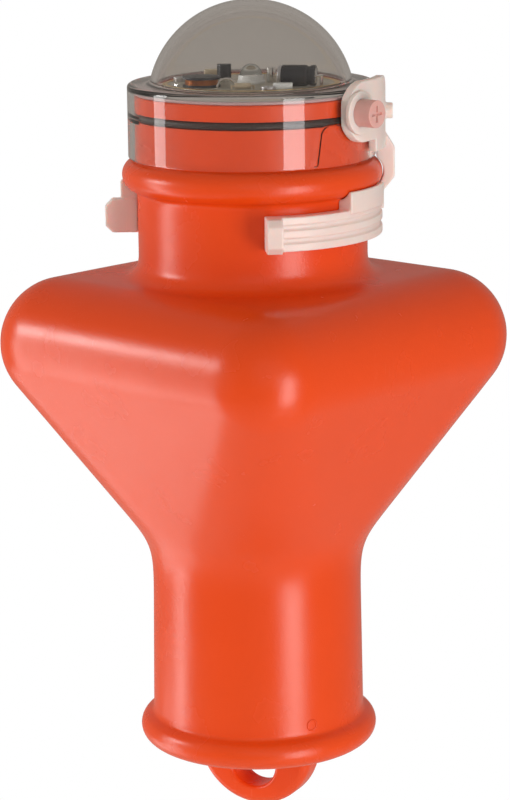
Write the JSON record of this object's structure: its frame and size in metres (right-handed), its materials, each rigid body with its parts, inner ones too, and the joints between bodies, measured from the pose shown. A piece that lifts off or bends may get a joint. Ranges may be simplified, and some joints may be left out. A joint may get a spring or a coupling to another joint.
{
  "type": "floating rescue light",
  "caption": "Floating self-igniting rescue light: orange float body with a battery well, clear dome over an LED engine, swivelling retaining collar and a lanyard eye.",
  "frame": {"origin": "centre of the lanyard eye's hole, on the body's axis", "axes": "+Z along the body's axis from the lanyard eye to the dome; two opposite float corners point along X and two along Y"},
  "size_m": [0.1678, 0.1678, 0.2738],
  "materials": {
    "float_orange": "satin moulded polyethylene",
    "foam": "closed-cell foam",
    "seal_rubber": "smooth",
    "seal_silicone": "translucent",
    "dome_clear": "clear moulded polycarbonate",
    "collar_white": "translucent moulded polypropylene",
    "stud_pink": "translucent moulded polypropylene",
    "carrier_nylon": "moulded",
    "cell_jacket": "shrink sleeve",
    "contact_steel": "nickel plated",
    "zinc_steel": "zinc plated",
    "spacer_alloy": "drawn",
    "lead_red": "wire insulation",
    "lead_black": "wire insulation",
    "deck_plastic": "moulded",
    "board_laminate": "solder mask",
    "gold_plate": "gold flash",
    "led_ceramic": "white laminate",
    "phosphor": "yellow phosphor",
    "led_silicone": "clear silicone",
    "ferrite": "sintered ferrite",
    "copper_winding": "enamelled copper wire",
    "sleeve_black": "shrink sleeve",
    "package_black": "moulded package",
    "terminal_white": "moulded",
    "film_beige": "dipped"
  },
  "bodies": {
    "body": {"float_body": "float_orange", "lanyard_lug": "float_orange", "foam_core": "foam", "o_ring": "seal_rubber"},
    "rim_seal": {"rim_seal": "seal_silicone"},
    "dome": {"dome_lens": "dome_clear"},
    "collar": {"retaining_collar": "collar_white", "stud_washer": "collar_white"},
    "stud": {"lock_stud": "stud_pink"},
    "engine": {"bottom_plate": "carrier_nylon", "battery_cells": "cell_jacket", "lower_contacts": "contact_steel", "contact_springs": "contact_steel", "upper_contacts": "contact_steel", "top_plate": "carrier_nylon", "centre_rod": "zinc_steel", "rod_nuts": "zinc_steel", "spacer_tube": "spacer_alloy", "positive_lead": "lead_red", "negative_lead": "lead_black", "lead_clips": "carrier_nylon", "engine_deck": "deck_plastic", "deck_posts": "deck_plastic", "circuit_board": "board_laminate", "guard_ring": "gold_plate", "board_screws": "zinc_steel", "led_board": "led_ceramic", "led_emitter": "phosphor", "led_lens": "led_silicone", "inductor_core": "ferrite", "inductor_winding": "copper_winding", "jumper_wire": "contact_steel", "capacitor_can": "zinc_steel", "capacitor_sleeve": "sleeve_black", "capacitor_leads": "contact_steel", "tilt_switch": "contact_steel", "terminal_block": "terminal_white", "transistor": "package_black", "transistor_legs": "contact_steel", "film_capacitor": "film_beige", "resistors": "film_beige"},
    "tilt_ball": {"tilt_ball": "gold_plate"}
  },
  "joints": [
    {"name": "engine_lift", "type": "slide", "parent": "body", "child": "engine", "axis": [0, 0, 1], "range_m": [0, 0.225]},
    {"name": "seal_lift", "type": "slide", "parent": "engine", "child": "rim_seal", "axis": [0, 0, 1], "range_m": [0, 0.045]},
    {"name": "dome_twist", "type": "hinge", "parent": "rim_seal", "child": "dome", "pos_m": [0, 0, 0.225], "axis": [0, 0, 1], "range_deg": [0, 30]},
    {"name": "collar_swivel", "type": "hinge", "parent": "body", "child": "collar", "pos_m": [0, 0, 0.1885], "axis": [0, 0, 1], "continuous": true},
    {"name": "stud_turn", "type": "hinge", "parent": "collar", "child": "stud", "pos_m": [0, 0, 0.225], "axis": [0.7547, -0.6561, 0], "range_deg": [0, 90]},
    {"name": "tilt_ball_roll", "type": "slide", "parent": "engine", "child": "tilt_ball", "axis": [0, 0, 1], "range_m": [0, 0.0019]}
  ]
}
